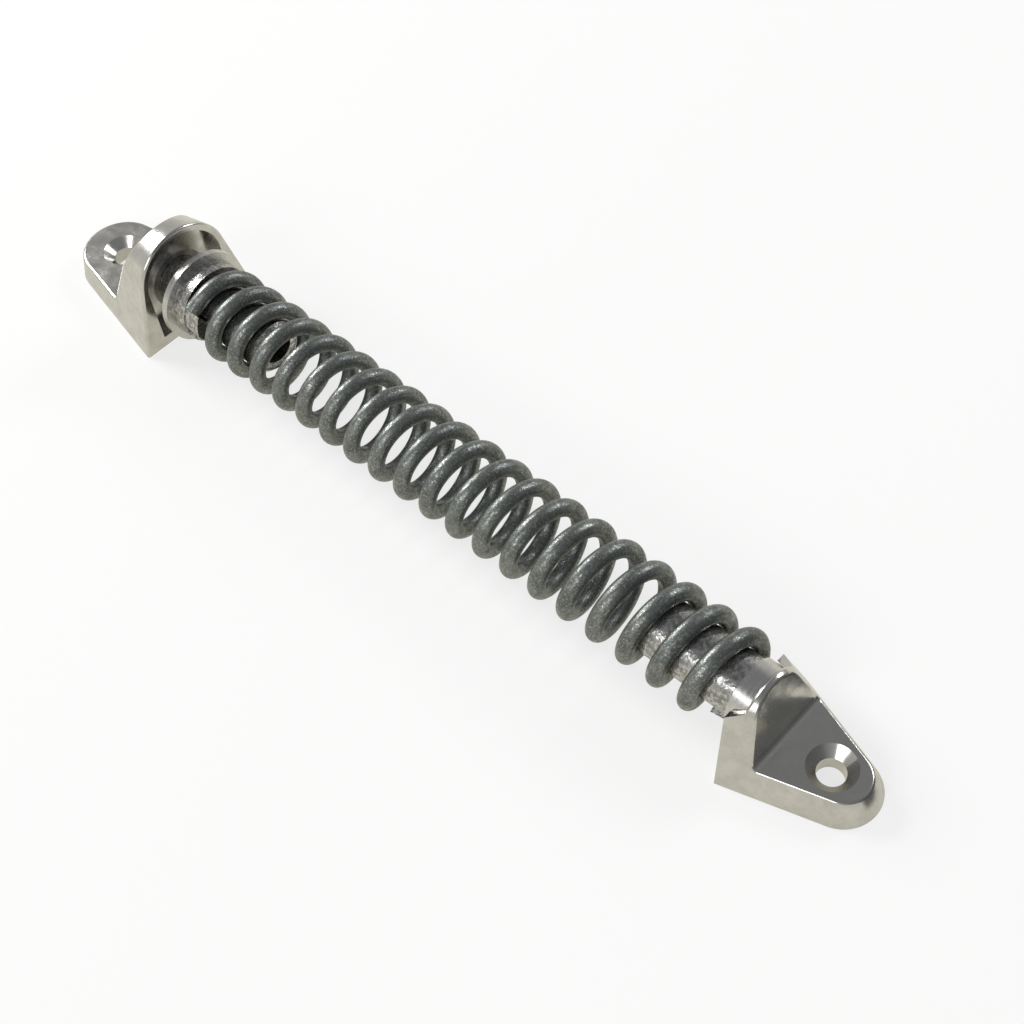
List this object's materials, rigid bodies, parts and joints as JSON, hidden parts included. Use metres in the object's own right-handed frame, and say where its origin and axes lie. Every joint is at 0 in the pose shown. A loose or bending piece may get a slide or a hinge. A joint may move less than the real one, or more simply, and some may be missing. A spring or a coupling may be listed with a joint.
{
  "type": "door_spring",
  "caption": "Adjustable helical door spring: a wound torsion spring lies between two screwed arrowhead cast brackets, on turning drums, so that it swings a door or gate shut",
  "frame": {"origin": "The middle of the overall box in the plane of the two screwed faces, under the spring", "axes": "+X along the spring from the frame bracket to the door bracket, +Y across, +Z away from the surface that the brackets are screwed to"},
  "size_m": [0.2006, 0.0278, 0.0241],
  "materials": {
    "plated_casting": "glossy",
    "spring_steel": "satin",
    "raw_casting": "rough",
    "plated_steel": "glossy",
    "bush_steel": "satin",
    "clip_steel": "satin"
  },
  "bodies": {
    "frame_side": {"frame_bracket": "plated_casting", "frame_bush": "bush_steel"},
    "drum_side": {"frame_drum": "raw_casting", "frame_thrust_washer": "plated_steel", "frame_retaining_ring": "clip_steel", "torsion_spring": "spring_steel"},
    "door_side": {"door_bracket": "plated_casting", "door_drum": "raw_casting", "door_collar": "plated_steel", "door_lock_pin": "clip_steel"}
  },
  "joints": [
    {"name": "tension_turn", "type": "hinge", "parent": "frame_side", "child": "drum_side", "pos_m": [-0.066, 0, 0.01], "axis": [1, 0, 0], "range_deg": [-180, 180]},
    {"name": "door_turn", "type": "hinge", "parent": "drum_side", "child": "door_side", "pos_m": [0.0745, 0, 0.01], "axis": [1, 0, 0], "range_deg": [0, 120], "stiffness_Nm_per_rad": 1.18, "deforming": ["torsion_spring"]}
  ]
}
